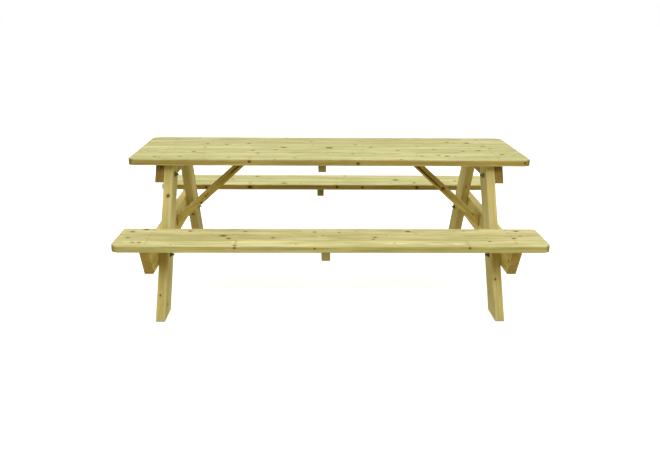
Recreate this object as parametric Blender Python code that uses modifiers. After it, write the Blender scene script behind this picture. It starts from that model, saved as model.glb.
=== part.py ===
"""Timber A-frame picnic table with two fixed bench seats.

Frame: metres, +Z up, the origin on the ground at the middle of the table.
X runs along the boards, and -Y is the side of the front seat.
The table is seven boards on two end frames. An end frame is two sloping legs with a spacer block
between their tops, a top bearer and a seat bearer, both bolted to the legs' outer faces.
Two diagonal braces run from the seat bearers up to the middle board.
"""

import math

import bmesh
import bpy
from mathutils import Matrix, Vector

# Overall size
TOP_HEIGHT = 0.730
SEAT_HEIGHT = 0.409
OVERALL_WIDTH = 1.540

# Boards: the tabletop and both seats are laid from one stock
BOARD_LENGTH = 2.050
BOARD_WIDTH = 0.0945
BOARD_THICKNESS = 0.032
BOARD_GAP = 0.003
TABLETOP_BOARDS = 7
SEAT_BOARDS = 3
CORNER_RADIUS = 0.042
SEAT_INNER_CORNER_RADIUS = 0.012
PARASOL_HOLE_DIAMETER = 0.040

# End frames
LEG_OUTER_FACE = 0.849
LEG_THICKNESS = 0.045
LEG_WIDTH = 0.138
LEG_TILT = math.radians(31.5)
FOOT_OUTER_EDGE = 0.698
SPACER_HEIGHT = 0.078
BEARER_THICKNESS = 0.044
TOP_BEARER_HEIGHT = 0.093
TOP_BEARER_SETBACK = 0.002
SEAT_BEARER_HEIGHT = 0.140
SEAT_BEARER_REACH = 0.756

# Battens under the boards, and the diagonal braces, are cut from one square stock
# The battens stand to the left of the middle, so that a parasol pole clears the tabletop's batten
BATTEN_SIZE = 0.041
BATTEN_OFFSET = -0.041
FRONT_SEAT_BATTEN_OFFSET = -0.028
TABLETOP_BATTEN_REACH = 0.305
SEAT_BATTEN_INSET = 0.005
BRACE_FOOT_HEIGHT = 0.312
BRACE_HEAD_REACH = 0.4225

# Carriage bolts, one at each crossing of a leg and a bearer: distance from the middle, and height
TOP_BOLT = (0.250, 0.634)
SEAT_BOLT = (0.475, 0.272)
BOLT_DIAMETER = 0.010
BOLT_LENGTH = 0.110
BOLT_HEAD_DIAMETER = 0.022
BOLT_HEAD_HEIGHT = 0.005
BOLT_END_CHAMFER = 0.001
BOLT_CLEARANCE = 0.0005
NUT_ACROSS_FLATS = 0.017
NUT_HEIGHT = 0.008
WASHER_DIAMETER = 0.028
WASHER_THICKNESS = 0.002

# Countersunk wood screws that hold the braces and the spacer blocks
SCREW_HEAD_DIAMETER = 0.010
SCREW_HEAD_HEIGHT = 0.004
SCREW_DIAMETER = 0.005
SCREW_HEAD_RIM = 0.001
SCREW_POINT = 0.006
SCREW_CLEARANCE = 0.0004
BRACE_FOOT_SCREW_LENGTH = 0.050
BRACE_HEAD_SCREW_LENGTH = 0.042
SPACER_SCREW_LENGTH = 0.070
SPACER_SCREW_SPREAD = 0.055

# Making
ARRIS = 0.002
FIT_GAP = 0.0003
ARC_STEPS = 8
DOME_STEPS = 4
ROUND_STEPS = 16
HOLE_STEPS = 24
SMOOTH_ANGLE = math.radians(35)
MERGE_DISTANCE = 0.00001

# Heights and places worked out from the dimensions above
BOARD_PITCH = BOARD_WIDTH + BOARD_GAP
TOP_UNDERSIDE = TOP_HEIGHT - BOARD_THICKNESS
SEAT_UNDERSIDE = SEAT_HEIGHT - BOARD_THICKNESS
SEAT_WIDTH = SEAT_BOARDS * BOARD_WIDTH + (SEAT_BOARDS - 1) * BOARD_GAP
SEAT_OUTER_EDGE = OVERALL_WIDTH / 2
SEAT_INNER_EDGE = SEAT_OUTER_EDGE - SEAT_WIDTH
LEG_INNER_FACE = LEG_OUTER_FACE - LEG_THICKNESS
LEG_SPAN = LEG_WIDTH / math.cos(LEG_TILT)
LEG_SLOPE = math.tan(LEG_TILT)
BEARER_INNER_FACE = LEG_OUTER_FACE + FIT_GAP
BEARER_OUTER_FACE = BEARER_INNER_FACE + BEARER_THICKNESS

# Looks: colour, roughness and metallic value
BOARD_TIMBER = ((0.62, 0.55, 0.27, 1.0), 0.62, 0.0)
FRAME_TIMBER = ((0.52, 0.42, 0.18, 1.0), 0.66, 0.0)
ZINC_STEEL = ((0.30, 0.29, 0.26, 1.0), 0.45, 1.0)

# Frames that turn an outline drawn in X and Y into one that stands in the YZ or XZ plane
ACROSS = Matrix(((0, 0, 1), (1, 0, 0), (0, 1, 0))).to_4x4()
ALONG = Matrix(((1, 0, 0), (0, 0, -1), (0, 1, 0))).to_4x4()


def clear_scene():
    for item in list(bpy.data.objects):
        bpy.data.objects.remove(item, do_unlink=True)


def new_collection(name):
    collection = bpy.data.collections.new(name)
    bpy.context.scene.collection.children.link(collection)
    return collection


def new_object(name, mesh, collection, frame=Matrix()):
    item = bpy.data.objects.new(name, mesh)
    item.matrix_world = frame
    collection.objects.link(item)
    return item


def finish(item, look):
    """Gives a piece its own material."""
    colour, roughness, metallic = look
    material = bpy.data.materials.new(item.name)
    material.use_nodes = True
    shader = material.node_tree.nodes["Principled BSDF"]
    shader.inputs["Base Color"].default_value = colour
    shader.inputs["Roughness"].default_value = roughness
    shader.inputs["Metallic"].default_value = metallic
    item.data.materials.clear()
    item.data.materials.append(material)


def evaluated_mesh(item):
    """The mesh of an object with its modifiers applied, the object itself being removed."""
    bpy.context.view_layer.update()
    mesh = bpy.data.meshes.new_from_object(item.evaluated_get(bpy.context.evaluated_depsgraph_get()))
    bpy.data.objects.remove(item, do_unlink=True)
    return mesh


def outline_mesh(name, outline, thickness):
    """A flat outline in X and Y, extruded both ways along Z to the thickness."""
    curve = bpy.data.curves.new(name, "CURVE")
    curve.dimensions = "2D"
    curve.fill_mode = "BOTH"
    curve.extrude = thickness / 2
    spline = curve.splines.new("POLY")
    spline.points.add(len(outline) - 1)
    spline.use_cyclic_u = True
    for point, (x, y) in zip(spline.points, outline):
        point.co = (x, y, 0.0, 1.0)
    mesh = evaluated_mesh(new_object(name, curve, bpy.context.scene.collection))
    work = bmesh.new()
    work.from_mesh(mesh)
    bmesh.ops.remove_doubles(work, verts=work.verts, dist=MERGE_DISTANCE)
    bmesh.ops.dissolve_limit(work, angle_limit=math.radians(1), verts=work.verts, edges=work.edges)
    bmesh.ops.recalc_face_normals(work, faces=work.faces)
    work.to_mesh(mesh)
    work.free()
    return mesh


def box_mesh(name, size):
    mesh = bpy.data.meshes.new(name)
    work = bmesh.new()
    bmesh.ops.create_cube(work, size=1.0, matrix=Matrix.Diagonal((*size, 1.0)))
    work.to_mesh(mesh)
    work.free()
    return mesh


def cylinder_mesh(name, diameter, length, steps):
    mesh = bpy.data.meshes.new(name)
    work = bmesh.new()
    radius = diameter / 2
    bmesh.ops.create_cone(
        work, cap_ends=True, segments=steps, radius1=radius, radius2=radius, depth=length)
    work.to_mesh(mesh)
    work.free()
    return mesh


def turned_mesh(name, profile, closed=False):
    """A profile of radius and height, from the top down its outer side, turned about Z."""
    mesh = bpy.data.meshes.new(name)
    edges = [(index, index + 1) for index in range(len(profile) - 1)]
    if closed:
        edges.append((len(profile) - 1, 0))
    mesh.from_pydata([(radius, 0.0, height) for radius, height in profile], edges, [])
    item = new_object(name, mesh, bpy.context.scene.collection)
    screw = item.modifiers.new("Turn", "SCREW")
    screw.steps = ROUND_STEPS
    screw.render_steps = ROUND_STEPS
    screw.use_merge_vertices = True
    screw.merge_threshold = MERGE_DISTANCE
    turned = evaluated_mesh(item)
    turned.shade_smooth()
    turned.set_sharp_from_angle(angle=SMOOTH_ANGLE)
    return turned


def arc(centre, radius, start, end, steps=ARC_STEPS):
    """Points on an arc, both ends included; the angles are in degrees."""
    angles = [math.radians(start + (end - start) * step / steps) for step in range(steps + 1)]
    return [(centre[0] + radius * math.cos(a), centre[1] + radius * math.sin(a)) for a in angles]


def ease_edges(item):
    """Takes the sharp arris off every edge of a timber."""
    bevel = item.modifiers.new("Arris", "BEVEL")
    bevel.width = ARRIS
    bevel.segments = 1
    bevel.limit_method = "ANGLE"
    bevel.angle_limit = SMOOTH_ANGLE


def cut(item, cutter):
    boolean = item.modifiers.new("Cut", "BOOLEAN")
    boolean.operation = "DIFFERENCE"
    boolean.solver = "EXACT"
    boolean.object = cutter


def make_cutter(name, mesh, frame):
    cutter = new_object(name, mesh, cutters, frame)
    cutter.hide_render = True
    cutter.display_type = "WIRE"
    return cutter


def timber(name, mesh, frame, look=FRAME_TIMBER):
    item = new_object(name, mesh, table, frame)
    finish(item, look)
    ease_edges(item)
    return item


def moved(x, y, z):
    return Matrix.Translation((x, y, z))


def pointed(location, direction):
    """A frame at a location whose Z axis runs along a direction."""
    turn = Vector((0, 0, 1)).rotation_difference(Vector(direction))
    return Matrix.Translation(location) @ turn.to_matrix().to_4x4()


# Boards

def board_outline(front_radius, rear_radius):
    """A board's plan, with the corners along its front and its rear edge rounded; 0 keeps them square."""
    half_length = BOARD_LENGTH / 2
    half_width = BOARD_WIDTH / 2
    points = []
    for end_x, end_y, start_angle in ((-1, -1, 180), (1, -1, 270), (1, 1, 0), (-1, 1, 90)):
        radius = front_radius if end_y < 0 else rear_radius
        if radius:
            centre = (end_x * (half_length - radius), end_y * (half_width - radius))
            points += arc(centre, radius, start_angle, start_angle + 90)
        else:
            points.append((end_x * half_length, end_y * half_width))
    return points


def lay_boards(prefix, count, front_edge, upper_face, front_radius, rear_radius):
    """A row of boards from the front edge to the rear; returns them in that order."""
    boards = []
    for number in range(count):
        outline = board_outline(
            front_radius if number == 0 else 0, rear_radius if number == count - 1 else 0)
        centre = front_edge + BOARD_WIDTH / 2 + number * BOARD_PITCH
        name = f"{prefix}_{number + 1}"
        mesh = outline_mesh(name, outline, BOARD_THICKNESS)
        place = moved(0.0, centre, upper_face - BOARD_THICKNESS / 2)
        boards.append(timber(name, mesh, place, BOARD_TIMBER))
    return boards


def lay_tabletop():
    depth = TABLETOP_BOARDS * BOARD_WIDTH + (TABLETOP_BOARDS - 1) * BOARD_GAP
    boards = lay_boards(
        "tabletop_board", TABLETOP_BOARDS, -depth / 2, TOP_HEIGHT, CORNER_RADIUS, CORNER_RADIUS)
    middle_board = boards[TABLETOP_BOARDS // 2]
    hole = cylinder_mesh("parasol_hole", PARASOL_HOLE_DIAMETER, 2 * BOARD_THICKNESS, HOLE_STEPS)
    place = moved(0.0, 0.0, TOP_HEIGHT - BOARD_THICKNESS / 2)
    cut(middle_board, make_cutter("parasol_hole", hole, place))
    return middle_board


# End frames

def leg_edge(height):
    """Distance from the middle to a leg's outer edge at a height."""
    return FOOT_OUTER_EDGE - LEG_SLOPE * height


def symmetric_outline(bottom_reach, top_reach, bottom, top):
    """A piece across the frame, the same front and rear, in Y and Z."""
    return [(-bottom_reach, bottom), (bottom_reach, bottom), (top_reach, top), (-top_reach, top)]


def leg_outline():
    """The front leg, with its sole and its top cut level, in Y and Z."""
    top = TOP_UNDERSIDE - FIT_GAP
    return [
        (-leg_edge(0.0), 0.0),
        (-leg_edge(0.0) + LEG_SPAN, 0.0),
        (-leg_edge(top) + LEG_SPAN, top),
        (-leg_edge(top), top),
    ]


def spacer_outline():
    """The block that fills the space between the two leg tops."""
    top = TOP_UNDERSIDE - FIT_GAP
    bottom = TOP_UNDERSIDE - SPACER_HEIGHT
    side_gap = LEG_SPAN + FIT_GAP / math.cos(LEG_TILT)
    return symmetric_outline(leg_edge(bottom) - side_gap, leg_edge(top) - side_gap, bottom, top)


def top_bearer_outline():
    """The bearer under the tabletop, its ends cut in line with the legs' outer edges."""
    top = TOP_UNDERSIDE - FIT_GAP
    bottom = TOP_UNDERSIDE - TOP_BEARER_HEIGHT
    return symmetric_outline(
        leg_edge(bottom) - TOP_BEARER_SETBACK, leg_edge(top) - TOP_BEARER_SETBACK, bottom, top)


def seat_bearer_outline():
    """The bearer that carries both seats, its ends cut back towards the ground."""
    top = SEAT_UNDERSIDE - FIT_GAP
    bottom = SEAT_UNDERSIDE - SEAT_BEARER_HEIGHT
    lower_reach = SEAT_BEARER_REACH - LEG_SLOPE * SEAT_BEARER_HEIGHT
    return symmetric_outline(lower_reach, SEAT_BEARER_REACH, bottom, top)


def bolt_mesh():
    """A carriage bolt along Z, its domed head above the origin and its shank below."""
    shank = BOLT_DIAMETER / 2
    angles = [math.radians(90 * step / DOME_STEPS) for step in range(DOME_STEPS + 1)]
    dome = [
        (BOLT_HEAD_DIAMETER / 2 * math.sin(angle), BOLT_HEAD_HEIGHT * math.cos(angle))
        for angle in angles
    ]
    end = [
        (shank, 0.0),
        (shank, -BOLT_LENGTH + BOLT_END_CHAMFER),
        (shank - BOLT_END_CHAMFER, -BOLT_LENGTH),
        (0.0, -BOLT_LENGTH),
    ]
    return turned_mesh("carriage_bolt", dome + end)


def washer_mesh():
    outer = WASHER_DIAMETER / 2
    inner = BOLT_DIAMETER / 2 + BOLT_CLEARANCE
    half = WASHER_THICKNESS / 2
    return turned_mesh("washer", [(outer, half), (outer, -half), (inner, -half), (inner, half)], True)


def nut_mesh():
    """A hexagon nut about Z, with its bore."""
    corner_diameter = NUT_ACROSS_FLATS / math.cos(math.radians(30))
    nut = new_object(
        "nut", cylinder_mesh("nut", corner_diameter, NUT_HEIGHT, 6), bpy.context.scene.collection)
    bore = cylinder_mesh(
        "nut_bore", BOLT_DIAMETER + 2 * BOLT_CLEARANCE, 2 * NUT_HEIGHT, ROUND_STEPS)
    cut(nut, make_cutter("nut_bore", bore, Matrix()))
    return evaluated_mesh(nut)


def fit_bolt(label, side, position, timbers):
    """A bolt through a bearer and a leg, with its washer and nut on the leg's inner face."""
    y, z = position
    hole = cylinder_mesh(
        label, BOLT_DIAMETER + 2 * BOLT_CLEARANCE, 2 * (BEARER_THICKNESS + LEG_THICKNESS), ROUND_STEPS)
    cutter = make_cutter("bolt_hole_" + label, hole, pointed((side * LEG_OUTER_FACE, y, z), (side, 0, 0)))
    for piece in timbers:
        cut(piece, cutter)
    head = BEARER_OUTER_FACE + FIT_GAP
    washer = LEG_INNER_FACE - FIT_GAP - WASHER_THICKNESS / 2
    nut = washer - WASHER_THICKNESS / 2 - FIT_GAP - NUT_HEIGHT / 2
    for kind, distance in (("bolt", head), ("washer", washer), ("nut", nut)):
        place = pointed((side * distance, y, z), (side, 0, 0))
        item = new_object(f"{kind}_{label}", hardware[kind].copy(), table, place)
        finish(item, ZINC_STEEL)


def screw_profile(length, grow=0.0, recess=0.0):
    """A countersunk screw from its flat head, at the origin, down to its point.

    Its hole is the same profile grown by a clearance, with a counterbore above the head.
    """
    head = SCREW_HEAD_DIAMETER / 2 + grow
    shank = SCREW_DIAMETER / 2 + grow
    return [
        (0.0, recess + grow),
        (head, recess + grow),
        (head, -SCREW_HEAD_RIM),
        (shank, -SCREW_HEAD_HEIGHT - grow),
        (shank, -length + SCREW_POINT),
        (0.0, -length - grow),
    ]


def fit_screw(name, head, direction, length, timbers, recess=0.0):
    """A screw from the place of its head along a direction, and its hole in the timbers."""
    place = pointed(head, -Vector(direction))
    hole = turned_mesh("hole_of_" + name, screw_profile(length, SCREW_CLEARANCE, recess))
    cutter = make_cutter("hole_of_" + name, hole, place)
    for piece in timbers:
        cut(piece, cutter)
    item = new_object(name, turned_mesh(name, screw_profile(length)), table, place)
    finish(item, ZINC_STEEL)


def build_end_frame(side_name, side):
    """Two legs, their spacer, the two bearers and their fasteners; returns the seat bearer."""
    leg_x = side * (LEG_OUTER_FACE - LEG_THICKNESS / 2)
    bearer_x = side * (BEARER_INNER_FACE + BEARER_THICKNESS / 2)

    def across(name, outline, thickness, x):
        return timber(name, outline_mesh(name, outline, thickness), moved(x, 0.0, 0.0) @ ACROSS)

    rear_outline = [(-y, z) for y, z in reversed(leg_outline())]
    legs = {
        "front": across(f"leg_{side_name}_front", leg_outline(), LEG_THICKNESS, leg_x),
        "rear": across(f"leg_{side_name}_rear", rear_outline, LEG_THICKNESS, leg_x),
    }
    spacer = across(f"leg_spacer_{side_name}", spacer_outline(), LEG_THICKNESS, leg_x)
    top_bearer = across(f"top_bearer_{side_name}", top_bearer_outline(), BEARER_THICKNESS, bearer_x)
    seat_bearer = across(f"seat_bearer_{side_name}", seat_bearer_outline(), BEARER_THICKNESS, bearer_x)
    joints = (("top", top_bearer, TOP_BOLT), ("seat", seat_bearer, SEAT_BOLT))

    screw_x = side * (LEG_INNER_FACE + FIT_GAP)
    screw_z = TOP_UNDERSIDE - SPACER_HEIGHT / 2
    for end_name, end in (("front", -1), ("rear", 1)):
        for level, bearer, (y, z) in joints:
            fit_bolt(f"{level}_{side_name}_{end_name}", side, (end * y, z), (legs[end_name], bearer))
        fit_screw(
            f"spacer_screw_{side_name}_{end_name}", (screw_x, end * SPACER_SCREW_SPREAD, screw_z),
            (side, 0, 0), SPACER_SCREW_LENGTH, (spacer, top_bearer))
    return seat_bearer


# Braces and battens

def brace_outline():
    """The right-hand brace in X and Z, cut plumb at its foot and level at its head."""
    foot_x = LEG_OUTER_FACE
    head_z = TOP_UNDERSIDE - FIT_GAP
    angle = math.atan2(head_z - BRACE_FOOT_HEIGHT, foot_x - BRACE_HEAD_REACH)
    foot_half = BATTEN_SIZE / 2 / math.cos(angle)
    head_half = BATTEN_SIZE / 2 / math.sin(angle)
    return [
        (foot_x, BRACE_FOOT_HEIGHT - foot_half),
        (foot_x, BRACE_FOOT_HEIGHT + foot_half),
        (BRACE_HEAD_REACH + head_half, head_z),
        (BRACE_HEAD_REACH - head_half, head_z),
    ]


def build_brace(side_name, side, seat_bearer, middle_board):
    """A diagonal from the middle of a seat bearer up to the middle board, a screw at each end."""
    outline = brace_outline()
    if side < 0:
        outline = [(-x, z) for x, z in reversed(outline)]
    name = f"brace_{side_name}"
    brace = timber(name, outline_mesh(name, outline, BATTEN_SIZE), ALONG)
    cover = BATTEN_SIZE / 2
    foot = (side * (LEG_OUTER_FACE - cover), 0.0, BRACE_FOOT_HEIGHT)
    head = (side * BRACE_HEAD_REACH, 0.0, TOP_UNDERSIDE - cover)
    fit_screw(
        f"brace_foot_screw_{side_name}", foot, (side, 0, 0), BRACE_FOOT_SCREW_LENGTH,
        (brace, seat_bearer), cover)
    fit_screw(
        f"brace_head_screw_{side_name}", head, (0, 0, 1), BRACE_HEAD_SCREW_LENGTH,
        (brace, middle_board), cover)


def build_batten(name, offset, front, rear, upper_face):
    size = (BATTEN_SIZE, rear - front, BATTEN_SIZE)
    place = moved(offset, (front + rear) / 2, upper_face - FIT_GAP - BATTEN_SIZE / 2)
    timber(name, box_mesh(name, size), place)


def build_battens():
    near = SEAT_INNER_EDGE + SEAT_BATTEN_INSET
    far = SEAT_OUTER_EDGE - SEAT_BATTEN_INSET
    reach = TABLETOP_BATTEN_REACH
    build_batten("tabletop_batten", BATTEN_OFFSET, -reach, reach, TOP_UNDERSIDE)
    build_batten("front_seat_batten", FRONT_SEAT_BATTEN_OFFSET, -far, -near, SEAT_UNDERSIDE)
    build_batten("rear_seat_batten", BATTEN_OFFSET, near, far, SEAT_UNDERSIDE)


clear_scene()
table = new_collection("picnic_table")
cutters = new_collection("cutters")
hardware = {"bolt": bolt_mesh(), "washer": washer_mesh(), "nut": nut_mesh()}

centre_board = lay_tabletop()
lay_boards(
    "front_seat_board", SEAT_BOARDS, -SEAT_OUTER_EDGE, SEAT_HEIGHT,
    CORNER_RADIUS, SEAT_INNER_CORNER_RADIUS)
lay_boards(
    "rear_seat_board", SEAT_BOARDS, SEAT_INNER_EDGE, SEAT_HEIGHT,
    SEAT_INNER_CORNER_RADIUS, CORNER_RADIUS)
build_battens()
for frame_name, frame_side in (("left", -1), ("right", 1)):
    frame_bearer = build_end_frame(frame_name, frame_side)
    build_brace(frame_name, frame_side, frame_bearer, centre_board)
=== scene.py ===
"""The looks of the timber picnic table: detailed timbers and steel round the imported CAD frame.

Metres, +Z up, X along the boards, the front seat on the side of -Y. Each timber is built in its own
frame, where U runs along the grain, V across its wide face and W through its thickness.
"""

import math
import random
from itertools import product

import bmesh
import bpy
import numpy as np
from mathutils import Matrix, Vector, noise
from mathutils.geometry import convex_hull_2d, delaunay_2d_cdt


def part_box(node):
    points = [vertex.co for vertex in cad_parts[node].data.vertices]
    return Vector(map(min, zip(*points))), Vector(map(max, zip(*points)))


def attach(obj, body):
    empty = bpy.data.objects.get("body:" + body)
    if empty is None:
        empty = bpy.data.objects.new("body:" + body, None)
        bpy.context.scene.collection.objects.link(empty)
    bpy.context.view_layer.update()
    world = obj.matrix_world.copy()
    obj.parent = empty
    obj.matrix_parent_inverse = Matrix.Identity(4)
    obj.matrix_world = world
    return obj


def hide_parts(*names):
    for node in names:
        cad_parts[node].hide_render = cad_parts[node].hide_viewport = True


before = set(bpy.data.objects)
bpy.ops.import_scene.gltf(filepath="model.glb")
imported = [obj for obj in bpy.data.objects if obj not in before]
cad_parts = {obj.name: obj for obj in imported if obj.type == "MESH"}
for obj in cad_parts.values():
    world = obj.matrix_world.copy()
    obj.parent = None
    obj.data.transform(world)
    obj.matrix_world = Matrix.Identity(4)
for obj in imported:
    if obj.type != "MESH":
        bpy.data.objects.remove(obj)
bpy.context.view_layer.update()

MM = 0.001
SIDES = (("left", -1), ("right", 1))
ENDS = ("front", "rear")
LEVELS = ("top", "seat")
SQUARE = np.array([(-1, -1), (1, -1), (1, 1), (-1, 1)])

# Shape of the timbers
CAD_ARRIS = 2.0 * MM
CORNER_RADIUS = 42.0 * MM
SEAT_INNER_CORNER_RADIUS = 12.0 * MM
EDGE_RADIUS = 3.2 * MM
ARRIS_RADIUS = 2.3 * MM
ARRIS_STEPS = 4
SIDE_ROWS = 3
STEP_ALONG = 9.0 * MM
FACE_STEP_ALONG = 14.0 * MM
FACE_STEP_ACROSS = 8.0 * MM
BORDER = EDGE_RADIUS + 1.8 * MM
TIMBER_CREASE = math.radians(48)
CHECK_MARGIN = 9.0 * MM
PARASOL_BORE = 40.0 * MM
BOLT_BORE = 11.0 * MM
RECESS_RADIUS = 5.5 * MM
RECESS_BELOW_HEAD = 2.0 * MM
RECESS_LENGTH = 60.0 * MM
RECESS_STEPS = 32

# Wear and unevenness of the timbers; the scales of their noise are per metre, along and aside
ARRIS_WEAR, WEAR_SCALE = 0.45, (14, 14)
NICK_LEVEL, NICK_SCALE = 0.72, (90, 90)
LEVEL_WANDER, LEVEL_SCALE = 0.35 * MM, (5, 22)
EDGE_WANDER, EDGE_SCALE = 0.35 * MM, (4, 11)
END_WANDER = 1.6 * MM

# Fasteners
DECK_SCREW = dict(head=8.0 * MM, shank=4.6 * MM, length=60.0 * MM)
BATTEN_SCREW = dict(head=8.0 * MM, shank=4.6 * MM, length=58.0 * MM)
FRAME_SCREW = dict(head=10.0 * MM, shank=5.0 * MM)
BOLT = dict(head_height=5.0 * MM, shank=10.0 * MM, thread=34.0 * MM, pitch=1.5 * MM)
NUT = dict(across_flats=17.0 * MM, bore=11.0 * MM)
WASHER_BORE = 11.0 * MM
WASHER_TURN = 0.4
SCREW_SUNK = 0.9 * MM
SCREW_EDGE_DISTANCE = 22.0 * MM
SCREW_END_DISTANCE = 33.0 * MM
SCREW_STEPS = 32
SCREW_HOLE_STEPS = 20
THREAD_STEPS = 6
BOLT_STEPS = 36
NUT_STEPS = 72
STEEL_CREASE = math.radians(38)

# Light: the sky's strength at the horizon and overhead, its gain at the sides and its loss at the front
SKY_LOW = 1.00
SKY_HIGH = 1.14
SIDE_GAIN = 0.35
FRONT_LOSS = 0.82
SOFT_BOX = dict(place=(0.3, -4.2, 3.5), target=(0, 0, 0.4), size=(3.0, 1.6), power=76)
FLOOR_HALF = 60.0
FLOOR_GLOW = 0.57

# Camera, as it stands to the table
CAMERA_PLACE = Vector((-0.08806, -4.05755, 1.46734))
CAMERA_YAW = 0.02371
CAMERA_PITCH = -0.28258
CAMERA_ROLL = 0.00825
CAMERA_LENS = 40.79
SENSOR_WIDTH = 36.0


def unit(vector):
    return vector / np.linalg.norm(vector)


def new_object(name, data):
    made = bpy.data.objects.new(name, data)
    bpy.context.scene.collection.objects.link(made)
    return made


def new_mesh(name, points, faces, crease=None):
    """A mesh, shaded smooth but for edges that turn by more than the crease."""
    mesh = bpy.data.meshes.new(name)
    mesh.from_pydata(points, [], faces)
    if crease:
        mesh.shade_smooth()
        mesh.set_sharp_from_angle(angle=crease)
    return mesh


def band(upper, lower):
    """The quads between two rings of point numbers."""
    count = len(upper)
    return [(upper[k], lower[k], lower[(k + 1) % count], upper[(k + 1) % count]) for k in range(count)]


# ------------ timber shapes

class Timber:
    """A timber's frame and outline, read from its CAD node."""

    def __init__(self, node, grain, through):
        self.node = node
        self.u = unit(np.array(grain, float))
        self.w = unit(np.array(through, float))
        self.v = np.cross(self.w, self.u)
        self.axes = np.array([self.u, self.v, self.w])
        low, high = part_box(node)
        self.centre = (np.array(low) + np.array(high)) / 2
        points = np.array([vertex.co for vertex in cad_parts[node].data.vertices], float)
        local = (points - self.centre) @ self.axes.T
        self.bottom, self.top = local[:, 2].min(), local[:, 2].max()
        face = local[local[:, 2] > self.top - 0.1 * MM, :2]
        self.corners = grown(hull(face), CAD_ARRIS)
        self.radii = [EDGE_RADIUS] * len(self.corners)
        self.holes = []
        self.checks = []
        self.knots = []
        self.random = random.Random(node)

    def local(self, point):
        return (np.array(point, float) - self.centre) @ self.axes.T

    def world(self, points):
        return self.centre + np.array(points, float) @ self.axes

    def size(self):
        return self.corners.max(axis=0) - self.corners.min(axis=0)


class Hole:
    """A round hole in a timber; its profile gives the radius at each depth from the face where it starts."""

    def __init__(self, at, side, steps, profile, through=False):
        self.at, self.side, self.steps = at, side, steps
        self.profile, self.through = profile, through
        self.rim = profile[0][0]

    def ring(self, radius):
        turns = np.arange(self.steps) * 2 * math.pi / self.steps
        return self.at + radius * np.stack([np.cos(turns), np.sin(turns)], axis=1)

    def away(self, points):
        return np.linalg.norm(points - self.at, axis=-1)


def meeting_sides(ring):
    """Each corner of a closed outline, with the directions of the sides that arrive at it and leave it."""
    for index, here in enumerate(ring):
        yield here, unit(here - ring[index - 1]), unit(ring[(index + 1) % len(ring)] - here)


def cross(first, second):
    return first[0] * second[1] - first[1] * second[0]


def outward(direction):
    return np.array([direction[1], -direction[0]])


def hull(points):
    """The convex outline of flat points, anticlockwise, without points on its straight sides."""
    kept = []
    for index in convex_hull_2d([Vector(point) for point in points]):
        here = np.array(points[index])
        if not kept or np.linalg.norm(here - kept[-1]) > 0.05 * MM:
            kept.append(here)
    return [here for here, *sides in meeting_sides(kept) if abs(cross(*sides)) > 0.01]


def grown(corners, distance):
    """A convex outline with every side moved out by a distance."""
    result = []
    for here, arriving, leaving in meeting_sides(corners):
        first, second = outward(arriving), outward(leaving)
        result.append(here + distance * (first + second) / (1 + first @ second))
    return np.array(result)


def rounded(corners, radii, step):
    """Points, outward normals and cornerness round a convex outline with rounded corners."""
    arcs = []
    for (here, arriving, leaving), radius in zip(meeting_sides(corners), radii):
        turn = math.atan2(cross(arriving, leaving), arriving @ leaving)
        centre = here - arriving * radius * math.tan(turn / 2) - radius * outward(arriving)
        first = math.atan2(-arriving[0], arriving[1])
        steps = max(4, int(radius * turn / (4 * MM)))
        angles = [first + turn * k / steps for k in range(steps + 1)]
        normals = np.array([(math.cos(a), math.sin(a)) for a in angles])
        arcs.append((centre + radius * normals, normals, radius < 2 * EDGE_RADIUS))
    points, normals, corner = [], [], []
    for (arc, arc_normals, small), (following, *_) in zip(arcs, arcs[1:] + arcs[:1]):
        span = following[0] - arc[-1]
        pieces = max(1, round(np.linalg.norm(span) / step))
        points += [*arc, *(arc[-1] + span * k / pieces for k in range(1, pieces))]
        normals += [*arc_normals, *[arc_normals[-1]] * (pieces - 1)]
        corner += [float(small)] * len(arc) + [0.0] * (pieces - 1)
    return np.array(points), np.array(normals), np.array(corner)


def depth_inside(outline, points):
    """How far each point lies inside a convex outline."""
    following = np.roll(outline, -1, axis=0)
    side = following - outline
    side /= np.linalg.norm(side, axis=1)[:, None]
    inward = np.stack([-side[:, 1], side[:, 0]], axis=1)
    return ((points[:, None, :] - outline[None]) * inward[None]).sum(axis=2).min(axis=1)


def nearest(points, line):
    """How far each point is from the nearest point of a line of points."""
    return np.linalg.norm(points[:, None] - line[None], axis=2).min(axis=1)


def wander(point, scale, shift):
    """Smooth noise from 0 to 1 at a point."""
    return 0.5 + 0.5 * noise.noise(Vector((point[0] * scale[0], point[1] * scale[1], shift)))


class Check:
    """A drying check: a slender V-shaped split along the grain."""

    STEPS = 14

    def __init__(self, u, v, length, width, depth, drift):
        self.u, self.v, self.length = u, v, length
        self.width, self.depth, self.drift = width, depth, drift

    def lines(self):
        """Its two lips and its bottom, with the depth at each point of the bottom."""
        share = np.linspace(-1, 1, self.STEPS + 1)
        u = self.u + share * self.length / 2
        v = self.v + self.drift * np.sin(share * 2.1) + 0.25 * self.width * np.sin(share * 17)
        bulge = 1 - share ** 2
        middle = np.stack([u, v], axis=1)
        aside = np.stack([0 * u, self.width / 2 * bulge], axis=1)
        return middle[1:-1] - aside[1:-1], middle[1:-1] + aside[1:-1], middle, self.depth * bulge


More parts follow.
